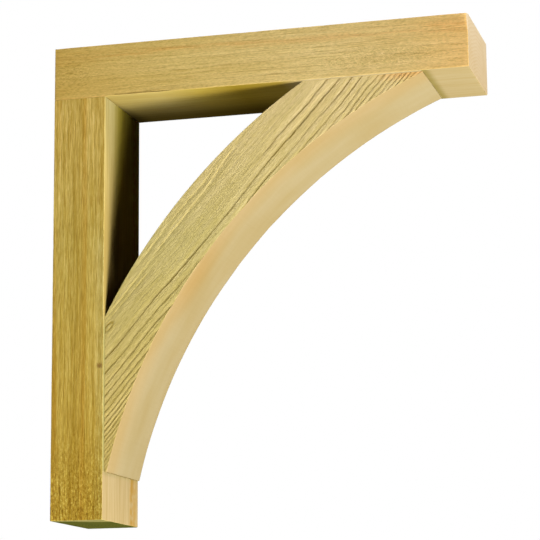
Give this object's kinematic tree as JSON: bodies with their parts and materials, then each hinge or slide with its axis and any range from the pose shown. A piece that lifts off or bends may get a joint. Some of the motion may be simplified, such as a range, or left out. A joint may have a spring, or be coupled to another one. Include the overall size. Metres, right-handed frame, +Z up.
{
  "type": "decorative timber bracket",
  "caption": "Rough-sawn timber bracket: a wall leg and a top arm tied by a curved brace, fixed to a wall under a canopy, shelf or beam.",
  "frame": {"origin": "middle of the back face that lies on the wall: half way up the bracket and half way across its width", "axes": "+X out from the wall along the top arm, +Z up, +Y across the bracket's width"},
  "size_m": [0.5969, 0.1524, 0.673],
  "materials": {
    "sawn_arm": "bare rough-sawn softwood, fibres along the arm, matt",
    "sawn_leg": "bare rough-sawn softwood, golden brown, fibres upright, fuzzy towards the foot, matt",
    "weathered_brace": "bare softwood, raised weathered grain on the sides and a smooth planed soffit, matt"
  },
  "bodies": {
    "root": {"top_arm": "sawn_arm", "wall_leg": "sawn_leg", "curved_brace": "weathered_brace"}
  },
  "joints": []
}
